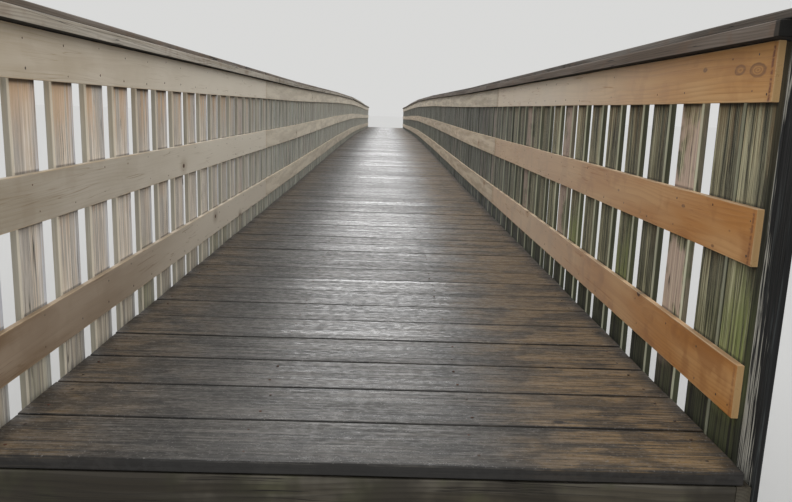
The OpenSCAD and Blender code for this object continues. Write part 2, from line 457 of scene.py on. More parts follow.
@functools.lru_cache(maxsize=None)
def board_place_group():
    """Where a point lies in its own board, the board's marks, and how far its sides and end are."""
    graph, _, out = new_group(
        "Board Place", (), (), ("Grain", "Mark"),
        ("Arris", "End", "Near Side", "Far Side", "High Face", "Low Face"))
    grain, half, mark = (
        graph.add("ShaderNodeAttribute", attribute_name=name).outputs["Vector"]
        for name in ("grain", "half_size", "board_mark"))
    left = graph.parts(graph.vector("SUBTRACT", half, graph.vector("ABSOLUTE", grain)))
    smaller = graph.math("MINIMUM", left[0], left[1])
    larger = graph.math("MAXIMUM", left[0], left[1])
    second_smallest = graph.math("MAXIMUM", smaller, graph.math("MINIMUM", larger, left[2]))
    _, wide, through = graph.parts(grain)
    _, half_wide, half_through = graph.parts(half)
    results = {
        "Grain": grain, "Mark": mark, "Arris": second_smallest, "End": left[0],
        "Near Side": graph.plus(half_wide, wide), "Far Side": graph.minus(half_wide, wide),
        "High Face": graph.minus(half_through, through), "Low Face": graph.plus(half_through, through)}
    for label, result in results.items():
        graph.plug(out[label], result)
    return graph.tree


@functools.lru_cache(maxsize=None)
def wood_figure_group():
    """Growth rings as a saw lays them open, with knots, and the fine fibre between them."""
    graph, into, out = new_group(
        "Wood Figure", ("Grain", "Mark"), ("Ring Width", "Knots"),
        (), ("Latewood", "Fibre", "Knot", "Halo", "Cloud"))
    mark = graph.parts(into["Mark"])
    place = own_place(graph, into, (31.0, 17.0, 23.0))
    at = graph.parts(place)
    cells_a_metre = 2.4
    cell = graph.add("ShaderNodeTexVoronoi", voronoi_dimensions="2D")
    graph.plug(cell.inputs["Vector"], graph.joined(graph.times(at[0], 0.62), at[1], 0.0))
    graph.plug(cell.inputs["Scale"], cells_a_metre)
    absent = graph.math("GREATER_THAN", graph.parts(cell.outputs["Color"])[0], into["Knots"])
    from_knot = graph.plus(graph.math("DIVIDE", cell.outputs["Distance"], cells_a_metre), absent)
    graph.plug(out["Knot"], graph.step(from_knot, 12.5 * MM, 7.5 * MM))
    halo = graph.step(from_knot, 55 * MM, 10 * MM)
    graph.plug(out["Halo"], halo)

    # The board is cut beside or through the pith, and the knots pull the rings round themselves
    _, wide, through = graph.parts(into["Grain"])
    pith_side = graph.times(graph.minus(mark[0], 0.5), 140 * MM)
    pith_depth = graph.math("MULTIPLY_ADD", mark[1], 110 * MM, 30 * MM)
    from_pith = graph.length(graph.minus(wide, pith_side), graph.plus(through, pith_depth))
    from_pith = graph.pushed(from_pith, graph.noise(place, (0.8, 5.0, 5.0)), 75 * MM)
    from_pith = graph.pushed(from_pith, graph.math("POWER", halo, 2.0), 28 * MM)
    season = graph.math("FRACT", graph.math("DIVIDE", from_pith, into["Ring Width"]))
    graph.plug(out["Latewood"], graph.times(graph.step(season, 0.25, 0.85), graph.step(season, 1.0, 0.90)))
    graph.plug(out["Fibre"], graph.noise(place, (6.0, 190.0, 190.0), 3.0, 0.6))
    graph.plug(out["Cloud"], graph.noise(place, (2.2, 9.0, 9.0)))
    return graph.tree


@functools.lru_cache(maxsize=None)
def weather_group():
    """Streaks that rain and sun leave along a board, and the thin drying checks in it."""
    graph, into, out = new_group(
        "Weather Streaks", ("Grain", "Mark"), (), (), ("Broad", "Narrow", "Fine", "Check", "Patch"))
    place = own_place(graph, into, (13.0, 41.0, 29.0))
    graph.plug(out["Broad"], graph.noise(place, (0.9, 26.0, 26.0), 2.0, 0.6))
    graph.plug(out["Narrow"], graph.noise(place, (2.0, 105.0, 105.0), 3.0, 0.6))
    graph.plug(out["Fine"], graph.noise(place, (7.0, 420.0, 420.0), 2.0, 0.7))
    line = graph.absolute(graph.minus(graph.noise(place, (1.6, 70.0, 70.0), 1.0), 0.5))
    open_here = graph.step(graph.noise(place, (3.0, 21.0, 21.0), 1.0), 0.50, 0.62)
    graph.plug(out["Check"], graph.times(graph.step(line, 0.018, 0.004), open_here))
    graph.plug(out["Patch"], graph.noise(place, (7.0, 7.0, 7.0), 3.0, 0.6))
    return graph.tree


@functools.lru_cache(maxsize=None)
def ring_knots_group(knots):
    """A bull's-eye of rings at each given knot: its place along and across the board, and its reach."""
    graph, into, out = new_group("Ring Knots", ("Grain",), ("Latewood",), (), ("Latewood", "Rim"))
    ring_pitch = 5.5 * MM
    wobble = graph.noise(into["Grain"], (20.0, 40.0, 40.0))
    rings = into["Latewood"]
    rim = 0.0
    for along, wide, reach in knots:
        off = graph.vector("SUBTRACT", into["Grain"], (along, wide, 0.0))
        x, y, _ = graph.parts(graph.vector("MULTIPLY", off, (0.45, 1.0, 0.0)))
        away = graph.pushed(graph.length(x, y), wobble, 10 * MM)
        wave = graph.math("SINE", graph.times(away, 2 * math.pi / ring_pitch))
        inside = graph.step(away, reach * 1.1, reach * 0.8)
        own_rings = graph.math("MULTIPLY_ADD", wave, 0.55, 0.45)
        rings = graph.pushed(rings, graph.minus(own_rings, rings), inside)
        from_rim = graph.absolute(graph.minus(away, reach * 0.92))
        rim = graph.plus(rim, graph.step(from_rim, 4 * MM, 0.0, high=0.8))
        rim = graph.plus(rim, graph.step(away, reach * 0.30, reach * 0.10, high=0.6))
        rim = graph.pushed(rim, inside, graph.step(wave, -0.2, 0.8, 0.15, 0.50))
    graph.plug(out["Latewood"], rings)
    graph.plug(out["Rim"], graph.math("MINIMUM", rim, 1.0))
    return graph.tree


@functools.lru_cache(maxsize=None)
def dirt_group():
    """Drifts of dirt and the small grains in it, in Object coordinates."""
    graph, into, out = new_group("Dirt", ("Place",), ("Amount",), (), ("Dirt", "Grit"))
    cloud = graph.noise(into["Place"], (3.0, 3.0, 3.0), 4.0, 0.65)
    edge = graph.minus(0.75, graph.times(into["Amount"], 0.5))
    graph.plug(out["Dirt"], graph.step(cloud, edge, graph.plus(edge, 0.2)))
    graph.plug(out["Grit"], graph.noise(into["Place"], (160.0, 160.0, 160.0), 2.0, 0.6))
    return graph.tree


class Finish:
    """One timber finish under way: its graph, the patterns that it starts from, and its colour so far."""

    def __init__(self, name, colour, ring_width, knots):
        self.material = bpy.data.materials.new(name)
        self.material.use_nodes = True
        self.colour = colour
        self.graph = Graph(self.material.node_tree)
        self.place = self.graph.add("ShaderNodeTexCoord").outputs["Object"]
        self.from_near_end = self.graph.minus(self.graph.parts(self.place)[1], NEAR_END)
        self.board = self.graph.group(board_place_group())
        self.grain = self.board["Grain"]
        self.mark = self.graph.parts(self.board["Mark"])
        places = {"grain": self.grain, "mark": self.board["Mark"]}
        figure = self.graph.group(wood_figure_group(), ring_width=ring_width, knots=knots, **places)
        self.latewood, self.fibre, self.knot, self.halo, self.cloud = figure
        weather = self.graph.group(weather_group(), **places)
        self.broad, self.narrow, self.fine, self.check, self.patch = weather

    def paint(self, share, colour):
        """Lays a colour over what is there, by a share."""
        self.colour = self.graph.mix(share, self.colour, colour)

    def shade(self, pattern, start, end, colour, share=1.0):
        """Lays a colour on by a share where a pattern has passed from its start to its end."""
        self.paint(self.graph.step(pattern, start, end, high=share), colour)

    def vary(self, spread):
        """Makes the colour lighter or darker from board to board."""
        level = self.graph.math("MULTIPLY_ADD", self.mark[2], spread, 1.0 - spread / 2)
        self.colour = self.graph.mix(1.0, self.colour, self.graph.joined(level, level, level), "MULTIPLY")

    def done(self, roughness, relief, bump, depth, specular):
        """Wires colour, roughness and relief, patterns with the height of each, into the shader."""
        graph = self.graph
        height = 0.0
        for pattern, amount in relief:
            height = graph.pushed(height, pattern, amount)
        raised = graph.add("ShaderNodeBump")
        graph.plug(raised.inputs["Strength"], bump)
        graph.plug(raised.inputs["Distance"], depth)
        graph.plug(raised.inputs["Height"], height)
        shader = self.material.node_tree.nodes["Principled BSDF"]
        graph.plug(shader.inputs["Base Color"], self.colour)
        graph.plug(shader.inputs["Roughness"], roughness)
        graph.plug(shader.inputs["Normal"], raised.outputs["Normal"])
        shader.inputs["Specular IOR Level"].default_value = specular
        return self.material


# Timber finishes

def rail_finish(node, colour, figure, rust, grime, painted_haze, age, edge, knots=()):
    """Sawn pine rails: low figure, grime, pale arrises, a painted highlight on the weathered upper edge, rust
    along the ends, paler far off as painted haze, greyer past the first length.
    """
    finish = Finish(node.replace("_", " ").title(), colour, ring_width=8 * MM, knots=0.40)
    graph, patch, end = finish.graph, finish.patch, finish.board["End"]
    light = paler(colour, 0.20)
    dark = scaled(colour, 0.80, 0.73, 0.62)
    finish.shade(finish.cloud, 0.35, 0.70, light)
    latewood = finish.latewood
    if knots:
        latewood, rim = graph.group(ring_knots_group(knots), grain=finish.grain, latewood=latewood)
    finish.paint(graph.times(latewood, figure), dark)
    if knots:
        finish.paint(graph.times(rim, 0.95), RAIL_KNOT_RIM)
    finish.shade(finish.fibre, 0.45, 0.70, light, 0.22)
    finish.shade(finish.fine, 0.55, 0.75, dark, 0.16)
    finish.shade(patch, 0.49, 0.62, dark, grime)
    end_soil = graph.step(end, 140 * MM, 20 * MM, high=grime)
    finish.paint(graph.times(end_soil, graph.step(patch, 0.38, 0.55)), dark)

    # Painted haze: paler with distance from the near end
    finish.shade(finish.from_near_end, 0.1, 2.6, RAIL_HAZE_LIGHT, painted_haze)
    first_joint = nearest_solid(node)[1] - NEAR_END
    aged = graph.step(finish.from_near_end, first_joint - 1 * MM, first_joint + 1 * MM, high=age)
    mottle = graph.step(graph.noise(finish.grain, (1.3, 16.0, 16.0), 4.0, 0.65), 0.39, 0.63)
    finish.paint(aged, graph.mix(mottle, RAIL_AGED_DARK, RAIL_AGED_LIGHT))
    finish.paint(graph.times(finish.halo, 0.40), dark)
    finish.paint(finish.knot, RAIL_KNOT)

    rust_line = graph.minus(end, graph.math("MULTIPLY_ADD", patch, 12 * MM, 10 * MM))
    rusted = graph.step(graph.absolute(rust_line), 9 * MM, 1 * MM, high=rust)
    broken = graph.step(graph.noise(finish.grain, (30.0, 85.0, 85.0)), 0.42, 0.54, low=0.25)
    finish.paint(graph.times(rusted, broken), RAIL_RUST)
    # Painted highlight along the upper edge, where the arris catches the light, over wood weathered paler
    # there
    finish.shade(finish.board["Far Side"], 2.5 * MM, 0.6 * MM, RAIL_UPPER_EDGE_WEAR_AND_HIGHLIGHT, edge)
    worn = graph.step(finish.board["Arris"], 5 * MM, 0.5 * MM, high=0.5)
    finish.paint(graph.times(worn, graph.step(patch, 0.35, 0.60)), RAIL_WORN_ARRIS)
    finish.shade(end, 1.6 * MM, 0.6 * MM, RAIL_CUT_END, 0.8)
    finish.paint(graph.times(finish.check, 0.45), dark)
    finish.vary(0.14)
    return finish.done(
        roughness=graph.step(finish.cloud, 0.3, 0.7, 0.62, 0.78),
        relief=((finish.fibre, 1.0), (latewood, 0.4)), bump=0.25, depth=1.2 * MM, specular=0.5)


def picket_finish(
        side, tones, far_shade_tones, edge_light_and_shade, blush, algae, algae_level, stain, stain_tone, shade_and_splash, far_edge_highlight,
        spread):
    """Weathered pickets: fine vertical streaks, checks, algae low down, stains, dirt and painted shade under
    the rails, painted light and shade on the edges, and painted shade far off.
    """
    body, dark, light = tones
    shaded_edge, lit_edge = edge_light_and_shade
    finish = Finish(side.title() + " Pickets", body, ring_width=9 * MM, knots=0.30)
    graph, patch, narrow, fine = finish.graph, finish.patch, finish.narrow, finish.fine
    along, wide, _ = graph.parts(finish.grain)
    middle = picket_middle(side)

    # Streaks: a grimy half on some boards, pale where the grime leaves room
    near_half = graph.step(graph.pushed(wide, patch, 30 * MM), 12 * MM, -6 * MM)
    grimy_half = graph.times(graph.step(finish.mark[0], 0.65, 0.55), near_half)
    grimy = graph.math("MAXIMUM", graph.step(finish.broad, 0.48, 0.40), grimy_half)
    finish.paint(graph.times(grimy, 0.72), dark)
    room_for_pale = graph.step(grimy, 1, 0, low=0.35)
    finish.paint(graph.times(graph.step(narrow, 0.50, 0.60, high=0.78), room_for_pale), light)
    finish.shade(narrow, 0.47, 0.39, dark, 0.85)
    finish.shade(fine, 0.52, 0.62, light, 0.45)
    finish.shade(fine, 0.47, 0.38, dark, 0.55)

    # Stains: a blush on some boards, brown under the top rail and the middle one, green near the deck
    blushing = graph.times(graph.step(finish.mark[0], 0.74, 0.88), graph.step(patch, 0.38, 0.52, high=0.55))
    finish.paint(blushing, blush)
    under_top = graph.step(graph.pushed(along, patch, 0.25), 0.36, 0.62)
    under_middle = graph.times(graph.step(along, 0.12, 0.09), graph.step(along, -0.05, 0.09))
    under_middle = graph.times(under_middle, graph.step(patch, 0.48, 0.60, high=0.4))
    stained = graph.times(
        graph.math("MAXIMUM", under_top, under_middle), graph.step(finish.broad, 0.44, 0.54, high=stain))
    finish.paint(stained, stain_tone)
    # Painted highlight: pale and bluish along each board's far edge
    far_edge_lit = graph.step(finish.board["Far Side"], 45 * MM, 6 * MM, high=far_edge_highlight)
    finish.paint(graph.times(far_edge_lit, graph.step(narrow, 0.42, 0.55, low=0.3)), PICKET_EDGE_HIGHLIGHT)
    green = graph.step(graph.pushed(along, patch, 0.45), algae_level + 0.36, algae_level + 0.06, high=algae)
    green = graph.times(green, graph.step(finish.mark[1], 0.50, 0.97, low=0.10))
    finish.paint(graph.times(green, graph.step(narrow, 0.40, 0.54, low=0.25)), PICKET_ALGAE)
    finish.paint(graph.times(finish.halo, 0.30), dark)
    finish.paint(finish.knot, PICKET_KNOT)

    # Painted shade with paler streaks under the bottom rail, where dirt also splashes up, checks, and painted
    # shade and dirt where each rail's edges touch
    foot = rail_band(side, "bottom")[0] - middle
    shaded_and_splashed = graph.step(graph.pushed(along, patch, 0.12), foot + 0.10, foot + 0.02, high=shade_and_splash)
    streaked_shade = graph.mix(graph.step(narrow, 0.42, 0.58), PICKET_SHADE_AND_DIRT, scaled(shaded_edge, 0.9, 0.9, 0.8))
    finish.paint(shaded_and_splashed, streaked_shade)
    finish.paint(graph.times(finish.check, 0.9), PICKET_CHECK)
    from_inner = finish.board["High Face" if side == "left" else "Low Face"]
    inside = graph.step(from_inner, 8 * MM, 2 * MM)
    # Painted shade under each rail's lower edge and dirt along its upper edge, on the inner face only
    for level in LEVELS:
        for rail_edge, reach, share in zip(rail_band(side, level), (13 * MM, 7 * MM), (0.75, 0.5)):
            away = graph.absolute(graph.minus(along, rail_edge - middle))
            finish.paint(graph.times(graph.step(away, reach, 2 * MM, high=share), inside), PICKET_SHADE_AND_DIRT)

    # Painted light and shade on the near side faces, pale towards the rails except on the first picket, and a
    # greyer far part in painted shade and haze
    # Painted light near the inner face and painted shade towards the outer face, all shaded on the first
    # picket
    painted_edge_light = graph.mix(graph.step(from_inner, 5 * MM, 9 * MM), lit_edge, shaded_edge)
    painted_edge_light = graph.mix(graph.step(finish.from_near_end, 0.20, 0.30), dark, painted_edge_light)
    on_edge = graph.step(finish.board["Near Side"], 2.5 * MM, 0.6 * MM, high=0.85)
    finish.paint(graph.times(on_edge, graph.step(fine, 0.40, 0.55, low=0.75)), painted_edge_light)
    # Painted shade and haze: darker and greyer away from the near end
    far_shade = graph.step(finish.from_near_end, 1.4, 5.5, high=0.75)
    finish.paint(far_shade, graph.mix(graph.step(narrow, 0.40, 0.60), *far_shade_tones))
    finish.vary(spread)
    return finish.done(
        roughness=0.82, relief=((fine, 1.0), (narrow, 1.2), (finish.check, -1.5)),
        bump=0.6, depth=1.5 * MM, specular=0.35)


def cap_finish(node, colour, bump, foot):
    """Grey cap boards and battens: silvered fibre, checks, ends black with dark end grain and painted shade,
    and a near-black painted shade of a given height along the underside.
    """
    finish = Finish(node.replace("_", " ").title(), colour, ring_width=7 * MM, knots=0.25)
    graph, end = finish.graph, finish.board["End"]
    pale = paler(colour, 0.22)
    dark = scaled(colour, 0.55)
    finish.shade(finish.broad, 0.35, 0.65, pale)
    finish.shade(finish.narrow, 0.45, 0.28, dark, 0.75)
    finish.paint(graph.times(finish.latewood, 0.30), dark)
    finish.shade(finish.patch, 0.50, 0.68, CAP_STAIN, 0.35)
    finish.paint(finish.knot, CAP_KNOT)
    finish.paint(finish.check, CAP_CHECK)
    finish.shade(finish.board["Arris"], 9 * MM, 1 * MM, pale, 0.35)
    rotten_reach = graph.math("MULTIPLY_ADD", finish.patch, 50 * MM, -15 * MM)
    finish.shade(graph.minus(end, rotten_reach), 6 * MM, 0.0, CAP_ROTTEN_END, 0.85)
    # The cut end: dark end grain, darkened further as painted shade
    finish.shade(end, 2 * MM, 0.6 * MM, CAP_SHADED_END_GRAIN, 0.95)
    # Painted shade: a near-black band of the given height along each board's lower edge and underside
    finish.shade(finish.board["Low Face"], foot, foot * 0.6, CAP_UNDER_SHADE, 0.95)
    finish.vary(0.25)
    return finish.done(
        roughness=0.84, relief=((finish.fibre, 1.0), (finish.narrow, 1.2), (finish.check, -1.5)),
        bump=bump, depth=1.6 * MM, specular=0.35)


def deck_finish(colour):
    """Foot-worn planks: dark taupe with silvery and black lines, brown by the fences, satin in the middle,
    with painted shade on their sides and ends.
    """
    finish = Finish("Deck Planks", colour, ring_width=9 * MM, knots=0.30)
    graph, patch = finish.graph, finish.patch
    narrow, broad, fine = finish.narrow, finish.broad, finish.fine
    dark = scaled(colour, 0.36)
    x = graph.parts(finish.place)[0]
    across = graph.absolute(x)
    scuff = graph.noise(finish.place, (34.0, 80.0, 40.0), 3.0, 0.7)
    blotch = graph.noise(finish.place, (5.0, 9.0, 9.0), 2.0, 0.6)
    finish.shade(broad, 0.50, 0.40, dark, 0.55)
    finish.paint(graph.times(finish.latewood, 0.35), dark)
    left_side = graph.step(graph.pushed(across, patch, 0.5), 0.75, 1.20, high=0.55)
    right_side = graph.step(graph.pushed(x, patch, 0.4), 0.45, 0.85, high=0.88)
    finish.paint(graph.math("MAXIMUM", left_side, right_side), DECK_BROWN)
    finish.shade(narrow, 0.54, 0.64, DECK_SCUFFED, 0.22)
    finish.shade(narrow, 0.48, 0.40, dark, 0.75)
    finish.shade(fine, 0.53, 0.62, DECK_SCUFFED, 0.30)
    finish.shade(fine, 0.48, 0.39, dark, 0.80)
    finish.shade(blotch, 0.50, 0.42, dark, 0.55)
    finish.shade(scuff, 0.45, 0.36, dark, 0.40)
    finish.shade(scuff, 0.56, 0.66, DECK_SCUFFED, 0.20)
    finish.shade(graph.pushed(across, patch, 50 * MM), 0.870, 0.925, DECK_GUTTER, 0.75)
    finish.paint(finish.knot, DECK_KNOT)
    finish.paint(finish.check, DECK_CHECK)
    joint = graph.pushed(finish.board["Arris"], patch, -20 * MM)
    finish.shade(joint, -4 * MM, -9 * MM, DECK_JOINT_AND_SIDE_SHADE, 0.90)
    below_top = finish.board["High Face"]
    # Painted shade on the sides, ends and undersides of the planks, below the top
    finish.shade(below_top, 3 * MM, 7 * MM, DECK_JOINT_AND_SIDE_SHADE, 0.9)
    dirt, grit = graph.group(dirt_group(), place=finish.place, amount=0.35)
    finish.paint(graph.times(dirt, 0.35), DECK_DIRT)
    pale_grit = graph.times(graph.step(grit, 0.62, 0.70, high=0.6), graph.step(below_top, 3 * MM, 1 * MM))
    finish.paint(pale_grit, DECK_SCUFFED)
    finish.shade(grit, 0.38, 0.30, dark, 0.6)
    finish.vary(0.30)

    # Feet keep the middle satin, and the dirt by the fences dulls it
    roughness = graph.step(broad, 0.42, 0.58, high=0.08)
    roughness = graph.plus(roughness, graph.step(narrow, 0.55, 0.45, 0.18, 0.30))
    roughness = graph.plus(roughness, graph.step(scuff, 0.56, 0.46, high=0.16))
    roughness = graph.pushed(roughness, finish.mark[1], 0.10)
    roughness = graph.pushed(roughness, graph.step(graph.pushed(across, patch, 0.4), 0.35, 0.95), 0.22)
    return finish.done(
        roughness, relief=((fine, 1.0), (narrow, 0.9), (scuff, 0.45), (finish.check, -2.0)),
        bump=0.24, depth=0.8 * MM, specular=0.5)


def framing_finish(name, colour, dirt_amount):
    """Framing timber: treated green-brown, streaked and dirty."""
    finish = Finish(name, colour, ring_width=9 * MM, knots=0.35)
    graph = finish.graph
    dark = scaled(colour, 0.55)
    finish.shade(finish.broad, 0.35, 0.65, paler(colour, 0.18))
    finish.paint(graph.times(finish.latewood, 0.40), dark)
    finish.shade(finish.narrow, 0.44, 0.28, dark, 0.6)
    finish.shade(finish.patch, 0.48, 0.66, FRAMING_GREEN, 0.30)
    finish.paint(graph.times(finish.halo, 0.4), dark)
    finish.paint(finish.knot, FRAMING_KNOT)
    finish.paint(finish.check, FRAMING_CHECK)
    dirt = graph.group(dirt_group(), place=finish.place, amount=dirt_amount)["Dirt"]
    finish.paint(graph.times(dirt, 0.7), FRAMING_DIRT)
    finish.vary(0.22)
    return finish.done(
        roughness=0.80, relief=((finish.fibre, 1.0), (finish.narrow, 1.0), (finish.check, -1.5)),
        bump=0.5, depth=1.5 * MM, specular=0.4)


def upright_finish(colour):
    """End uprights: nearly black, with pale bare fibre low down."""
    finish = Finish("End Uprights", colour, ring_width=8 * MM, knots=0.2)
    graph, narrow = finish.graph, finish.narrow
    along, wide, _ = graph.parts(finish.grain)
    strand = graph.noise(finish.grain, (5.0, 210.0, 210.0), 2.0, 0.6)
    bare_from = graph.step(along, -0.50, 0.25, -24 * MM, 41 * MM)
    uneven = graph.pushed(graph.times(finish.patch, 60 * MM), strand, 160 * MM)
    bare_part = graph.minus(graph.minus(graph.plus(wide, uneven), 110 * MM), bare_from)
    bare_part = graph.step(bare_part, -8 * MM, 12 * MM)
    streak = graph.times(graph.step(narrow, 0.50, 0.60, high=0.45), graph.step(strand, 0.44, 0.56, low=0.2))
    finish.paint(streak, UPRIGHT_STREAK)
    finish.paint(graph.times(bare_part, graph.step(strand, 0.43, 0.53, 0.05, 0.95)), UPRIGHT_BARE)
    finish.paint(finish.check, UPRIGHT_CHECK)
    return finish.done(
        roughness=0.85, relief=((strand, 1.5), (narrow, 1.5)), bump=0.8, depth=2 * MM, specular=0.3)


def pile_finish(colour):
    """Round piles: grey-brown, streaked down their length, dark and green near the ground."""
    finish = Finish("Piles", colour, ring_width=6 * MM, knots=0.0)
    graph = finish.graph
    height = graph.parts(finish.place)[2]
    finish.shade(finish.broad, 0.35, 0.65, paler(colour, 0.2))
    finish.shade(finish.narrow, 0.46, 0.28, scaled(colour, 0.5), 0.8)
    finish.shade(graph.pushed(height, finish.patch, 0.3), 0.45, 0.12, PILE_FOOT, 0.75)
    finish.paint(finish.check, PILE_CHECK)
    finish.vary(0.2)
    return finish.done(
        roughness=0.85, relief=((finish.fibre, 1.0), (finish.narrow, 1.5)),
        bump=0.6, depth=2 * MM, specular=0.35)


def steel_finish(colour):
    """Dull steel with rust."""
    material = bpy.data.materials.new("Weathered Steel")
    material.use_nodes = True
    graph = Graph(material.node_tree)
    shader = material.node_tree.nodes["Principled BSDF"]
    place = graph.add("ShaderNodeTexCoord").outputs["Object"]
    rust = graph.step(graph.noise(place, (60.0, 60.0, 60.0), 3.0, 0.6), 0.42, 0.60)
    graph.plug(shader.inputs["Base Color"], graph.mix(rust, colour, STEEL_RUST))
    graph.plug(shader.inputs["Roughness"], graph.step(rust, 0.0, 1.0, 0.45, 0.85))
    graph.plug(shader.inputs["Metallic"], graph.step(rust, 1.0, 0.0, high=0.85))
    return material


# Making and finishing pieces

class Drying(typing.NamedTuple):
    """How far boards have moved as they dried: cupped, bowed, stepped, wandered at the edges and shrunk."""

    cup: float
    bow: float
    step: float
    wander: float
    shorter: float


class Lay(typing.NamedTuple):
    """Each vertex's board number, place in its board, and half the board's size."""

    numbers: np.ndarray
    grain: np.ndarray
    half: np.ndarray


def only(piece):
    """Leaves the piece as the one that is selected and active."""
    bpy.ops.object.select_all(action="DESELECT")
    piece.select_set(True)
    bpy.context.view_layer.objects.active = piece


def edit(piece):
    """Goes into edit mode on the piece with nothing selected."""
    only(piece)
    bpy.ops.object.mode_set(mode="EDIT")
    bpy.ops.mesh.select_mode(type="EDGE")
    bpy.ops.mesh.select_all(action="DESELECT")


def object_mode():
    bpy.ops.object.mode_set(mode="OBJECT")


def new_object(name, data):
    """An object with the given mesh, lamp or camera, in the scene."""
    made = bpy.data.objects.new(name, data)
    bpy.context.scene.collection.objects.link(made)
    return made


def place_points(piece, points):
    """Moves the piece's vertices to the given points."""
    piece.data.vertices.foreach_set("co", points.ravel())
    piece.data.update()


def merged_copy(node):
    """A new piece from a copy of a node's solids, with their triangles merged into whole faces."""
    piece = new_object("worn_" + node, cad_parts[node].data.copy())
    piece.data.materials.clear()
    edit(piece)
    bpy.ops.mesh.select_all(action="SELECT")
    bpy.ops.mesh.customdata_custom_splitnormals_clear()
    bpy.ops.mesh.remove_doubles(threshold=0.02 * MM)
    bpy.ops.mesh.dissolve_limited(angle_limit=math.radians(0.05))
    object_mode()
    return piece


def ease_arrises(piece, width):
    """Rounds off every sharp edge of the piece."""
    edit(piece)
    bpy.ops.mesh.edges_select_sharp(sharpness=math.radians(40))
    bpy.ops.mesh.bevel(offset=width, segments=2, profile=0.5, clamp_overlap=True)
    object_mode()


def cut_at(piece, axis, places):
    """Cuts the piece's faces at each place along an axis."""
    normal = [0.0, 0.0, 0.0]
    normal[axis] = 1.0
    edit(piece)
    for place in places:
        bpy.ops.mesh.select_all(action="SELECT")
        bpy.ops.mesh.bisect(plane_co=[n * float(place) for n in normal], plane_no=normal)
    object_mode()


def even_cuts(low, high, step):
    """Places of even cuts between two ends, no further apart than the step."""
    count = math.ceil((high - low) / step)
    return [low + (high - low) * i / count for i in range(1, count)]


def lay_of_boards(piece, axes, follows):
    """How a piece's boards lie, in the order of the axes, with the camber taken out if they follow it."""
    numbers = joined_numbers(len(piece.data.vertices), *edge_ends(piece.data))
    flat = coordinates(piece.data)
    if follows:
        flat[:, 2] -= line_at(flat[:, 1])
    low, high = corners_by_number(flat, numbers)
    middle = ((low + high) / 2)[numbers]
    half = ((high - low) / 2)[numbers]
    return Lay(numbers, (flat - middle)[:, list(axes)], half[:, list(axes)])


def store(piece, name, values):
    """Keeps a vector at each vertex, for the finishes to read."""
    attribute = piece.data.attributes.new(name, "FLOAT_VECTOR", "POINT")
    attribute.data.foreach_set("vector", np.asarray(values, dtype=np.float32).ravel())


def mark_boards(piece, lay, seed, marks=()):
    """Stores what the finishes read. marks are given for the first boards, counted from the near end."""
    rng = np.random.default_rng(seed)
    mark = rng.random((lay.numbers.max() + 1, 3))
    low, _ = corners_by_number(coordinates(piece.data), lay.numbers)
    for number, given in zip(np.argsort(low[:, 1]), marks):
        mark[number] = given
    store(piece, "grain", lay.grain)
    store(piece, "half_size", lay.half)
    store(piece, "board_mark", mark[lay.numbers])


def dry_boards(piece, axes, lay, seed, drying):
    """Moves the boards as drying does, all inside their own size."""
    rng = np.random.default_rng(seed)
    count = lay.numbers.max() + 1
    along, wide, through = (lay.grain / lay.half).T
    cup, bow, step, wander, shorter = drying

    def drawn(low, high):
        return rng.uniform(low, high, count)[lay.numbers]

    room = cup + bow + step / 2
    lift = drawn(-cup, cup) * (wide ** 2 - 0.5)
    lift += drawn(-bow, bow) * np.sin(along * drawn(1.2, 3.0) + drawn(0, 6))
    lift += drawn(-step / 2, step / 2) + drawn(-0.3, 0.3) * step * wide
    drift = drawn(0.5, 1.0) * wander * np.sin(along * drawn(3.0, 9.0) + drawn(0, 6) + wide)
    at_end = np.abs(along) > 0.98
    new = np.stack([
        lay.grain[:, 0] - np.abs(drawn(0, shorter)) * np.sign(along) * at_end,
        lay.grain[:, 1] * (1 - wander / lay.half[:, 1]) + drift,
        through * (lay.half[:, 2] - room) + lift,
    ], axis=1)
    points = coordinates(piece.data)
    points[:, list(axes)] += new - lay.grain
    place_points(piece, points)


def smooth_off(piece):
    """Shades the rounded arrises smoothly and keeps the faces flat."""
    only(piece)
    bpy.ops.object.shade_smooth_by_angle(angle=math.radians(50))
    modifier = piece.modifiers.new("Even faces", "WEIGHTED_NORMAL")
    modifier.keep_sharp = True
    bpy.ops.object.modifier_apply(modifier=modifier.name)


def keep(piece, material, node=None):
    """Gives the piece its material and body, and lets it stand for its node."""
    piece.data.materials.append(material)
    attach(piece, "root")
    if node:
        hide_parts(node)


def worn_boards(
        node, axes, material, seed, cut_step, drying, arris,
        follows=True, width_cuts=(), marks=()):
    """Makes one node's boards again as worn ones, and returns the piece."""
    piece = merged_copy(node)
    ease_arrises(piece, arris)
    low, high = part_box(node)
    along, wide, _ = axes
    cut_at(piece, along, even_cuts(low[along], high[along], cut_step))
    cut_at(piece, wide, width_cuts)
    lay = lay_of_boards(piece, axes, follows)
    mark_boards(piece, lay, seed, marks)
    dry_boards(piece, axes, lay, seed + 1, drying)
    smooth_off(piece)
    keep(piece, material, node)
    return piece


def strewn(name, pattern, places):
    """Joins a copy of a small pattern piece at each place, a matrix, and deletes the pattern."""
    points = coordinates(pattern.data)
    faces = [list(face.vertices) for face in pattern.data.polygons]
    all_points, all_faces = [], []
    for i, place in enumerate(places):
        turned = points @ np.array(place.to_3x3()).T + np.array(place.translation)
        all_points.append(turned)
        all_faces += [[v + i * len(points) for v in face] for face in faces]
    joined = bpy.data.meshes.new(name)
    joined.from_pydata(np.concatenate(all_points).tolist(), [], all_faces)
    piece = new_object(name, joined)
    bpy.data.objects.remove(pattern)
    only(piece)
    bpy.ops.object.shade_smooth_by_angle(angle=math.radians(40))
    return piece


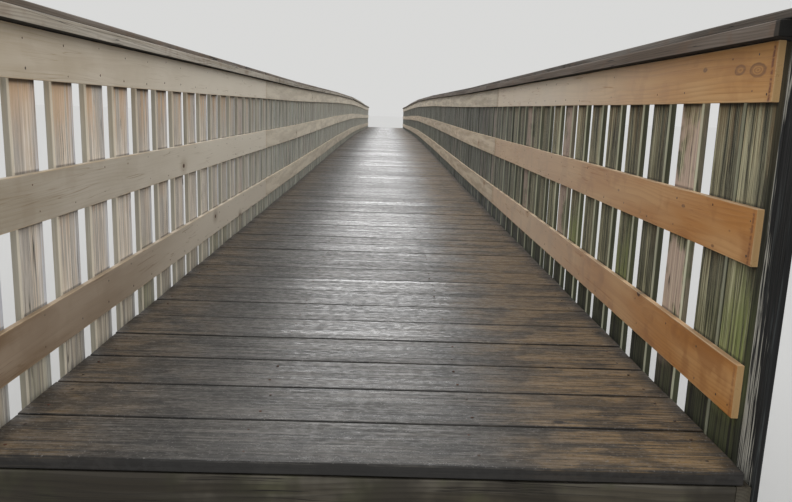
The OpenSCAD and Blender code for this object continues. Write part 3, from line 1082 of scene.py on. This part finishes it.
def add_round(vertices, radius, depth, height):
    """A short upright cylinder about the vertical through the origin, with its middle at a height."""
    bpy.ops.object.select_all(action="DESELECT")
    bpy.ops.mesh.primitive_cylinder_add(
        vertices=vertices, radius=radius, depth=depth, location=(0, 0, height))
    bpy.ops.object.transform_apply(location=True, rotation=True, scale=True)
    return bpy.context.object


def nail_head(radius, sunk):
    """A domed nail head that faces up, with its rim a little under z = 0."""
    piece = add_round(9, radius, sunk, -sunk / 2)
    edit(piece)
    object_mode()
    for face in piece.data.polygons:
        face.select = face.normal.z > 0.9
    bpy.ops.object.mode_set(mode="EDIT")
    bpy.ops.mesh.select_mode(type="FACE")
    bpy.ops.mesh.inset(thickness=radius * 0.4)
    bpy.ops.transform.translate(value=(0, 0, radius * 0.18))
    object_mode()
    return piece


def bolt_end(radius):
    """A washer, a hexagonal nut on it and the bolt's rounded end, facing up from z = 0."""
    washer = add_round(24, radius * 1.7, 5 * MM, 1 * MM)
    nut = add_round(6, radius, 13 * MM, 10 * MM)
    end = add_round(12, radius * 0.5, 8 * MM, 20 * MM)
    for part, ease in ((washer, 0.8 * MM), (nut, 1.2 * MM), (end, 1.5 * MM)):
        ease_arrises(part, ease)
    only(washer)
    nut.select_set(True)
    end.select_set(True)
    bpy.ops.object.join()
    return washer


def facing(place, direction):
    """A matrix that turns a piece's up side to a direction and sets it at a place."""
    turned = Vector(direction).to_track_quat("Z", "Y").to_matrix().to_4x4()
    return Matrix.Translation(place) @ turned


# One operator for each group of pieces

class FOOTBRIDGE_OT_lay_deck(bpy.types.Operator):
    """Lays the worn planks"""

    bl_idname = "footbridge.lay_deck"
    bl_label = "Lay the deck"

    def execute(self, context):
        boards = context.scene.footbridge_boards
        material = deck_finish(context.scene.footbridge_colours.deck)
        drying = Drying(
            cup=boards.plank_cup, bow=0.5 * MM, step=boards.plank_step, wander=0.7 * MM, shorter=5 * MM)
        for bay in BAYS:
            node = f"deck_planks_{bay}"
            low, high = solid_boxes(node)
            quarter = (high[:, 1] - low[:, 1]) / 4
            strips = sorted(y for i in (1, 2, 3) for y in low[:, 1] + i * quarter)
            worn_boards(
                node, ACROSS_FLAT, material, DECK_SEED + bay, cut_step=0.23, drying=drying,
                arris=boards.arris, width_cuts=strips)
        return {"FINISHED"}


class FOOTBRIDGE_OT_run_rails(bpy.types.Operator):
    """Fits the three rails of each fence"""

    bl_idname = "footbridge.run_rails"
    bl_label = "Run the rails"

    def execute(self, context):
        boards = context.scene.footbridge_boards
        colours = context.scene.footbridge_colours
        middle_knots = self.knots_from_end("right_middle_rails", (
            (0.421, 0.022, 0.008), (0.125, -0.003, 0.007), (0.023, 0.019, 0.005), (0.208, -0.058, 0.006),
            (0.033, -0.038, 0.005), (0.768, -0.046, 0.007), (1.021, 0.002, 0.009)))
        top_knots = self.knots_from_end("right_top_rails", (
            (0.081, 0.007, 0.023), (0.169, 0.012, 0.017), (0.375, 0.022, 0.010)))
        # In each look, edge sets the painted highlight along the upper edge, and the paling far off is
        # painted haze
        looks = {
            "left_bottom_rails": dict(
                colour=colours.left_low_rail,
                figure=0.10, rust=0.2, grime=0.15, painted_haze=0.75, age=0.45, edge=0.25),
            "left_middle_rails": dict(
                colour=scaled(colours.left_rail, 0.94),
                figure=0.10, rust=0.2, grime=0.15, painted_haze=0.8, age=0.45, edge=0.2),
            "left_top_rails": dict(
                colour=scaled(colours.left_rail, 1.08),
                figure=0.12, rust=0.2, grime=0.1, painted_haze=0.75, age=0.45, edge=0.2),
            "right_bottom_rails": dict(
                colour=scaled(colours.right_rail, 0.96, 0.94, 0.84),
                figure=0.22, rust=0.4, grime=0.5, painted_haze=0.5, age=0.7, edge=0.5),
            "right_middle_rails": dict(
                colour=colours.right_rail,
                figure=0.20, rust=0.7, grime=0.35, painted_haze=0.45, age=0.7, edge=0.6, knots=middle_knots),
            "right_top_rails": dict(
                colour=scaled(colours.right_rail, 1.02, 1.07, 1.14),
                figure=0.30, rust=0.9, grime=0.25, painted_haze=0.75, age=0.7, edge=0.5, knots=top_knots),
        }
        drying = Drying(
            cup=0.3 * MM, bow=boards.fence_bow, step=0.3 * MM, wander=boards.edge_wander, shorter=1.5 * MM)
        for i, side in enumerate(SIDES):
            for j, level in enumerate(LEVELS):
                node = f"{side}_{level}_rails"
                worn_boards(
                    node, ALONG_ON_EDGE, rail_finish(node, **looks[node]),
                    RAIL_SEED + 10 * i + j, cut_step=0.35, drying=drying, arris=boards.thin_arris)
        return {"FINISHED"}

    def knots_from_end(self, node, knots):
        """Knots given from a rail's near end, set out from the middle of its first length instead."""
        start, end = nearest_solid(node)
        return tuple((along - (end - start) / 2, wide, reach) for along, wide, reach in knots)


class FOOTBRIDGE_OT_hang_pickets(bpy.types.Operator):
    """Hangs the pickets outside the rails"""

    bl_idname = "footbridge.hang_pickets"
    bl_label = "Hang the pickets"

    def execute(self, context):
        boards = context.scene.footbridge_boards
        colours = context.scene.footbridge_colours
        # In each look, the marks under the bottom rail, on the board edges and far off are painted light and
        # shade, with dirt under the rails
        looks = {
            "left": picket_finish(
                "left", tones=(colours.left_picket, (0.64, 0.615, 0.585), (0.92, 0.89, 0.85)),
                far_shade_tones=((0.42, 0.43, 0.41), (0.62, 0.63, 0.59)),
                edge_light_and_shade=((0.60, 0.58, 0.52), (0.86, 0.82, 0.74)), blush=(0.84, 0.75, 0.69),
                algae=0.45, algae_level=-0.20, stain=0.70, stain_tone=(0.80, 0.65, 0.49),
                shade_and_splash=0.35, far_edge_highlight=0.65, spread=0.14),
            "right": picket_finish(
                "right", tones=(colours.right_picket, (0.13, 0.13, 0.095), (0.72, 0.70, 0.58)),
                far_shade_tones=((0.21, 0.22, 0.22), (0.46, 0.465, 0.45)),
                edge_light_and_shade=((0.26, 0.27, 0.20), (0.76, 0.76, 0.66)), blush=(0.80, 0.69, 0.64),
                algae=0.70, algae_level=0.0, stain=0.35, stain_tone=(0.50, 0.37, 0.21),
                shade_and_splash=0.95, far_edge_highlight=0.0, spread=0.40),
        }
        first_marks = {
            "left": (
                (0.2, 0.5, 0.4), (0.3, 0.7, 0.8), (0.7, 0.2, 0.9), (0.72, 0.3, 1.0), (0.7, 0.4, 0.9)),
            "right": (
                (0.1, 1.0, 0.95), (0.2, 0.6, 0.45), (1.0, 0.2, 1.0), (0.3, 0.5, 0.25), (0.1, 0.9, 0.40),
                (0.4, 0.3, 0.60)),
        }
        drying = Drying(
            cup=0.3 * MM, bow=boards.fence_bow, step=0.3 * MM, wander=boards.edge_wander, shorter=1.0 * MM)
        for i, side in enumerate(SIDES):
            for bay in BAYS:
                worn_boards(
                    f"{side}_pickets_{bay}", UPRIGHT, looks[side],
                    PICKET_SEED + 20 * i + bay, cut_step=0.16, drying=drying, arris=boards.thin_arris,
                    marks=first_marks[side] if bay == BAYS[0] else ())
        return {"FINISHED"}


class FOOTBRIDGE_OT_cap_fences(bpy.types.Operator):
    """Lays the cap boards and battens on the fences"""

    bl_idname = "footbridge.cap_fences"
    bl_label = "Cap the fences"

    def execute(self, context):
        colours = context.scene.footbridge_colours
        arris = context.scene.footbridge_boards.arris
        # foot is the height of the painted shade along each board's underside
        board = {"bump": 0.5, "foot": 2 * MM}
        batten = {"bump": 0.9, "foot": 6 * MM}
        looks = {
            # The left cap boards and battens are lighter than the right ones, partly as painted haze
            "left_cap_boards": (scaled(colours.cap, 1.22, 1.25, 1.26), board),
            "left_cap_battens": (scaled(colours.batten, 1.25), batten),
            "right_cap_boards": (scaled(colours.cap, 0.76, 0.70, 0.66), board),
            "right_cap_battens": (colours.batten, batten),
        }
        drying = Drying(cup=0.3 * MM, bow=0.3 * MM, step=0.3 * MM, wander=1.5 * MM, shorter=3 * MM)
        for i, (node, (colour, kind)) in enumerate(looks.items()):
            worn_boards(
                node, ALONG_FLAT, cap_finish(node, colour, **kind), CAP_SEED + i,
                cut_step=0.3, drying=drying, arris=arris)
        return {"FINISHED"}


class FOOTBRIDGE_OT_set_uprights(bpy.types.Operator):
    """Sets the dark upright at each end of each fence"""

    bl_idname = "footbridge.set_uprights"
    bl_label = "Set the end uprights"

    def execute(self, context):
        material = upright_finish(context.scene.footbridge_colours.upright)
        arris = context.scene.footbridge_boards.thin_arris
        drying = Drying(cup=0.3 * MM, bow=0.3 * MM, step=0.2 * MM, wander=2.0 * MM, shorter=2 * MM)
        groove = 4 * MM
        for i, side in enumerate(SIDES):
            node = f"{side}_end_uprights"
            lows, highs = solid_boxes(node)
            cuts = sorted({round(float(y), 4) for low, high in zip(lows[:, 1], highs[:, 1])
                           for y in even_cuts(low + groove, high - groove, groove)})
            piece = worn_boards(
                node, UPRIGHT, material, UPRIGHT_SEED + i, cut_step=0.08, drying=drying,
                arris=arris, width_cuts=cuts)
            self.sink_grooves(piece, groove, GROOVE_SEED + i)
        return {"FINISHED"}

    def sink_grooves(self, piece, width, seed):
        """Sinks weathered grooves of uneven depth along the grain into both faces."""
        rng = np.random.default_rng(seed)
        points = coordinates(piece.data)
        low, high = points.min(axis=0), points.max(axis=0)
        middle = (low[0] + high[0]) / 2
        rows = 97
        depths = rng.uniform(0, 1, rows) ** 2 * 2.6 * MM
        waves = rng.uniform(0, 6, rows)
        row = (points[:, 1] / width).round().astype(int) % rows
        depth = depths[row] * (0.7 + 0.3 * np.sin(points[:, 2] * 9 + waves[row]))
        points[:, 0] -= np.sign(points[:, 0] - middle) * depth
        place_points(piece, points)


class FOOTBRIDGE_OT_frame_deck(bpy.types.Operator):
    """Frames the deck: rim boards, stringers, blocks, headers and cap beams"""

    bl_idname = "footbridge.frame_deck"
    bl_label = "Frame the deck"

    def execute(self, context):
        colour = context.scene.footbridge_colours.framing
        outer = framing_finish("Rim Boards", scaled(colour, 0.86), 0.70)
        inner = framing_finish("Framing", scaled(colour, 0.92), 0.35)
        ends = framing_finish("End Headers", scaled(colour, 0.66), 0.80)
        arris = context.scene.footbridge_boards.thin_arris
        drying = Drying(cup=0.4 * MM, bow=0.6 * MM, step=0.3 * MM, wander=1.0 * MM, shorter=1.0 * MM)
        families = {
            "left_rim_boards": (ALONG_ON_EDGE, outer),
            "right_rim_boards": (ALONG_ON_EDGE, outer),
            "left_outer_stringers": (ALONG_ON_EDGE, inner),
            "right_outer_stringers": (ALONG_ON_EDGE, inner),
            "inner_stringers": (ALONG_ON_EDGE, inner),
            "stringer_blocks": (ACROSS_ON_EDGE, inner),
            "end_headers": (ACROSS_ON_EDGE, ends),
            "cap_beams": (ACROSS_ON_EDGE, inner),
        }
        for i, (node, (axes, material)) in enumerate(families.items()):
            worn_boards(
                node, axes, material, FRAMING_SEED + i, cut_step=0.5, drying=drying,
                arris=arris, follows=axes == ALONG_ON_EDGE)
        return {"FINISHED"}


class FOOTBRIDGE_OT_drive_piles(bpy.types.Operator):
    """Drives the round piles, with long drying checks down their sides"""

    bl_idname = "footbridge.drive_piles"
    bl_label = "Drive the piles"

    def execute(self, context):
        material = pile_finish(context.scene.footbridge_colours.pile)
        for bent in BENTS:
            node = f"bent_piles_{bent}"
            piece = merged_copy(node)
            ease_arrises(piece, 4 * MM)
            low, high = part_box(node)
            cut_at(piece, UPRIGHT_ROUND[0], even_cuts(low.z, high.z, 70 * MM))
            lay = lay_of_boards(piece, UPRIGHT_ROUND, follows=False)
            mark_boards(piece, lay, PILE_SEED + bent)
            self.check_sides(piece, lay, PILE_CHECK_SEED + bent)
            smooth_off(piece)
            keep(piece, material, node)
        return {"FINISHED"}

    def check_sides(self, piece, lay, seed):
        """Presses a few long V-shaped checks into each pile, and lets its face swell and sink a little."""
        checks, half_angle, notch_reach = 6, 0.10, 112 * MM
        rng = np.random.default_rng(seed)
        points = coordinates(piece.data)
        for pile in range(lay.numbers.max() + 1):
            mine = lay.numbers == pile
            z, x, y = lay.grain[mine].T
            radius = np.hypot(x, y)
            angle = np.arctan2(y, x)
            inward = 1.2 * MM * (1 + np.sin(angle * 3 + z * 4 + rng.uniform(0, 6)))
            for _ in range(checks):
                line = rng.uniform(-math.pi, math.pi) + z * rng.uniform(-0.15, 0.15)
                away = np.abs((angle - line + math.pi) % (2 * math.pi) - math.pi)
                reach = np.clip(1 - np.abs(z - rng.uniform(-0.3, 0.3)) / rng.uniform(0.2, 0.5), 0, 1)
                inward += rng.uniform(5, 11) * MM * np.clip(1 - away / half_angle, 0, 1) * np.sqrt(reach)
            share = np.where(radius > notch_reach, inward / np.maximum(radius, notch_reach), 0.0)
            points[mine, 0] -= x * share
            points[mine, 1] -= y * share
        place_points(piece, points)


class FOOTBRIDGE_OT_drive_nails(bpy.types.Operator):
    """Drives the nails of rails, planks and battens"""

    bl_idname = "footbridge.drive_nails"
    bl_label = "Drive the nails"

    def execute(self, context):
        steel = steel_finish(context.scene.footbridge_colours.steel)
        fixings = context.scene.footbridge_fixings
        radius = fixings.nail_radius
        rng = np.random.default_rng(NAIL_SEED)
        for side, inward in (("left", 1), ("right", -1)):
            places = self.rail_places(side, inward, fixings.nail_spread, rng)
            keep(strewn(f"{side}_rail_nails", nail_head(radius, 4 * MM), places), steel)
        keep(strewn("deck_nails", nail_head(radius, 4 * MM), self.plank_places(rng)), steel)
        keep(strewn("batten_nails", nail_head(radius, 3 * MM), self.batten_places(rng)), steel)
        return {"FINISHED"}

    def rail_places(self, side, inward, spread, rng):
        """A pair of nails through each rail into each picket and end upright."""
        nodes = [f"{side}_pickets_{bay}" for bay in BAYS] + [f"{side}_end_uprights"]
        end_margin, least_margin = 30 * MM, 28 * MM
        places = []
        for level in LEVELS:
            low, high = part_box(f"{side}_{level}_rails")
            face = high.x if inward > 0 else low.x
            middle = sum(rail_band(side, level)) / 2
            for lows, highs in map(solid_boxes, nodes):
                for y in (lows[:, 1] + highs[:, 1]) / 2:
                    y = min(max(y, low.y + least_margin), high.y - least_margin)
                    for sign in (-1, 1):
                        z = middle + line_at(y) + sign * spread + rng.uniform(-9, 9) * MM
                        free = low.y + end_margin < y < high.y - end_margin
                        shift = rng.uniform(-22, 22) * MM if free else 0.0
                        sunk = rng.uniform(0.8, 1.8) * MM
                        places.append(facing((face - inward * sunk, y + shift, z), (inward, 0, 0)))
        return places

    def plank_places(self, rng):
        """Two nails through each plank into each of the four stringers."""
        lows, highs = solid_boxes("inner_stringers")
        lines = sorted({round(float(x), 3) for x in (lows[:, 0] + highs[:, 0]) / 2})
        for side in SIDES:
            low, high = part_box(f"{side}_outer_stringers")
            lines.append((low.x + high.x) / 2)
        places = []
        for bay in BAYS:
            low, high = solid_boxes(f"deck_planks_{bay}")
            for start, end in zip(low[:, 1], high[:, 1]):
                for x in lines:
                    for part in (0.24, 0.76):
                        y = start + (end - start) * part + rng.uniform(-7, 7) * MM
                        top = line_at(y) + PLANK_THICKNESS - rng.uniform(2.0, 3.2) * MM
                        places.append(facing((x + rng.uniform(-12, 12) * MM, y, top), (0, 0, 1)))
        return places

    def batten_places(self, rng):
        """Nails along the middle of each batten."""
        end_margin, sunk = 50 * MM, 1.6 * MM
        nails_a_batten = 8
        places = []
        for side in SIDES:
            for (x0, y0, z0), (x1, y1, _) in zip(*solid_boxes(f"{side}_cap_battens")):
                rise = z0 - min(line_at(y0), line_at(y1)) + BATTEN_THICKNESS
                for y in np.linspace(y0 + end_margin, y1 - end_margin, nails_a_batten):
                    x = (x0 + x1) / 2 + rng.uniform(-10, 10) * MM
                    places.append(facing((x, y, line_at(y) + rise - sunk), (0, 0, 1)))
        return places


class FOOTBRIDGE_OT_bolt_bents(bpy.types.Operator):
    """Bolts the cap beams to the tongues of the piles"""

    bl_idname = "footbridge.bolt_bents"
    bl_label = "Bolt the bents"

    def execute(self, context):
        fixings = context.scene.footbridge_fixings
        steel = steel_finish(context.scene.footbridge_colours.steel)
        beam_low, beam_high = solid_boxes("cap_beams")
        bolt_shift, bent_reach = 30 * MM, 200 * MM
        places = []
        for bent in BENTS:
            pile_low, pile_high = solid_boxes(f"bent_piles_{bent}")
            middle = (pile_low + pile_high) / 2
            beams = np.abs((beam_low[:, 1] + beam_high[:, 1]) / 2 - middle[0, 1]) < bent_reach
            front, back = beam_low[beams, 1].min(), beam_high[beams, 1].max()
            height = (beam_low[beams, 2].min() + beam_high[beams, 2].max()) / 2
            for x in middle[:, 0]:
                for sign in (-1, 1):
                    bolt_x, bolt_z = x + sign * bolt_shift, height + sign * fixings.bolt_spread
                    places.append(facing((bolt_x, front, bolt_z), (0, -1, 0)))
                    places.append(facing((bolt_x, back, bolt_z), (0, 1, 0)))
        keep(strewn("bent_bolts", bolt_end(fixings.bolt_radius), places), steel)
        return {"FINISHED"}


class FOOTBRIDGE_OT_set_stage(bpy.types.Operator):
    """Sets the camera, the lamps, the pale floor and the even light from all round"""

    bl_idname = "footbridge.set_stage"
    bl_label = "Set the stage"

    def execute(self, context):
        stage = context.scene.footbridge_stage
        context.scene.view_settings.view_transform = "Standard"
        self.camera(context, stage)
        self.lamp("Far Lamp", stage.far_lamp, spread=35, towards=(-0.45, 0.50, 0.75))
        self.lamp("Low Lamp", stage.low_lamp, spread=26, towards=(-0.06, 0.98, 0.15))
        self.lamp("Near Lamp", stage.near_lamp, spread=60, towards=(0.62, -0.20, 0.75))
        self.surroundings(context, stage)
        self.floor(stage)
        return {"FINISHED"}

    def camera(self, context, stage):
        """Stands the camera before the near end."""
        lens = bpy.data.cameras.new("Camera")
        lens.sensor_width = 36.0
        lens.lens = stage.lens
        lens.clip_end = 500.0
        camera = new_object("Camera", lens)
        deck_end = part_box("deck_planks_1")[0].y
        eye_height = line_at(NEAR_END) + PLANK_THICKNESS + stage.camera_height
        place = Matrix.Translation((stage.camera_right, deck_end - stage.camera_back, eye_height))
        camera.matrix_world = (
            place @ Matrix.Rotation(stage.turn, 4, "Z") @ Matrix.Rotation(stage.tilt, 4, "X")
            @ Matrix.Rotation(stage.roll, 4, "Z"))
        context.scene.camera = camera

    def lamp(self, name, strength, spread, towards):
        """A distant soft lamp, with its spread in degrees, in a direction from the bridge."""
        light = bpy.data.lights.new(name, "SUN")
        light.energy = strength
        light.angle = math.radians(spread)
        new_object(name, light).matrix_world = facing((0, 0, 12), towards)

    def surroundings(self, context, stage):
        """Lights the bridge evenly from all round, and shows as a pale backdrop."""
        world = bpy.data.worlds.new("Pale room")
        world.use_nodes = True
        context.scene.world = world
        graph = Graph(world.node_tree)
        background = world.node_tree.nodes["Background"]
        rays = graph.add("ShaderNodeLightPath").outputs
        seen = graph.math("MAXIMUM", rays["Is Camera Ray"], rays["Is Glossy Ray"])
        seen = graph.math("MAXIMUM", seen, rays["Is Transmission Ray"])
        graph.plug(background.inputs["Color"], graph.mix(seen, (1.0, 1.0, 1.0), stage.backdrop))
        graph.plug(background.inputs["Strength"], graph.step(seen, 0.0, 1.0, stage.sky, 1.0))

    def floor(self, stage):
        """A pale floor that is clear from below."""
        bpy.ops.object.select_all(action="DESELECT")
        bpy.ops.mesh.primitive_plane_add(size=600.0, location=(0, 0, 0))
        floor = bpy.context.object
        floor.name = "Floor"
        material = bpy.data.materials.new("Pale Floor")
        material.use_nodes = True
        graph = Graph(material.node_tree)
        shader = material.node_tree.nodes["Principled BSDF"]
        shader.inputs["Base Color"].default_value = linear(stage.floor)
        shader.inputs["Roughness"].default_value = 1.0
        shader.inputs["Specular IOR Level"].default_value = 0.0
        clear = graph.add("ShaderNodeBsdfTransparent").outputs[0]
        from_below = graph.add("ShaderNodeNewGeometry").outputs["Backfacing"]
        surface = graph.add("ShaderNodeMixShader", from_below, shader.outputs[0], clear).outputs[0]
        graph.plug(material.node_tree.nodes["Material Output"].inputs["Surface"], surface)
        floor.data.materials.append(material)


class FOOTBRIDGE_PT_panel(bpy.types.Panel):
    """Lists the settings and the steps"""

    bl_idname = "FOOTBRIDGE_PT_panel"
    bl_label = "Footbridge"
    bl_space_type = "VIEW_3D"
    bl_region_type = "UI"
    bl_category = "Footbridge"

    def draw(self, context):
        for name in SETTING_GROUPS:
            settings = getattr(context.scene, name)
            box = self.layout.box()
            for key in settings.bl_rna.properties.keys():
                if key not in ("rna_type", "name"):
                    box.prop(settings, key)
        for operator in OPERATORS:
            self.layout.operator(operator.bl_idname)


OPERATORS = (
    FOOTBRIDGE_OT_set_stage,
    FOOTBRIDGE_OT_lay_deck,
    FOOTBRIDGE_OT_run_rails,
    FOOTBRIDGE_OT_hang_pickets,
    FOOTBRIDGE_OT_cap_fences,
    FOOTBRIDGE_OT_set_uprights,
    FOOTBRIDGE_OT_frame_deck,
    FOOTBRIDGE_OT_drive_piles,
    FOOTBRIDGE_OT_drive_nails,
    FOOTBRIDGE_OT_bolt_bents,
)
CLASSES = (*SETTING_GROUPS.values(), *OPERATORS, FOOTBRIDGE_PT_panel)


def register():
    for cls in CLASSES:
        bpy.utils.register_class(cls)
    for name, cls in SETTING_GROUPS.items():
        setattr(bpy.types.Scene, name, PointerProperty(type=cls))


def unregister():
    for name in SETTING_GROUPS:
        delattr(bpy.types.Scene, name)
    for cls in reversed(CLASSES):
        bpy.utils.unregister_class(cls)


def main():
    """Registers the add-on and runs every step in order."""
    register()
    for operator in OPERATORS:
        group, name = operator.bl_idname.split(".")
        getattr(getattr(bpy.ops, group), name)()


if __name__ == "__main__":
    main()
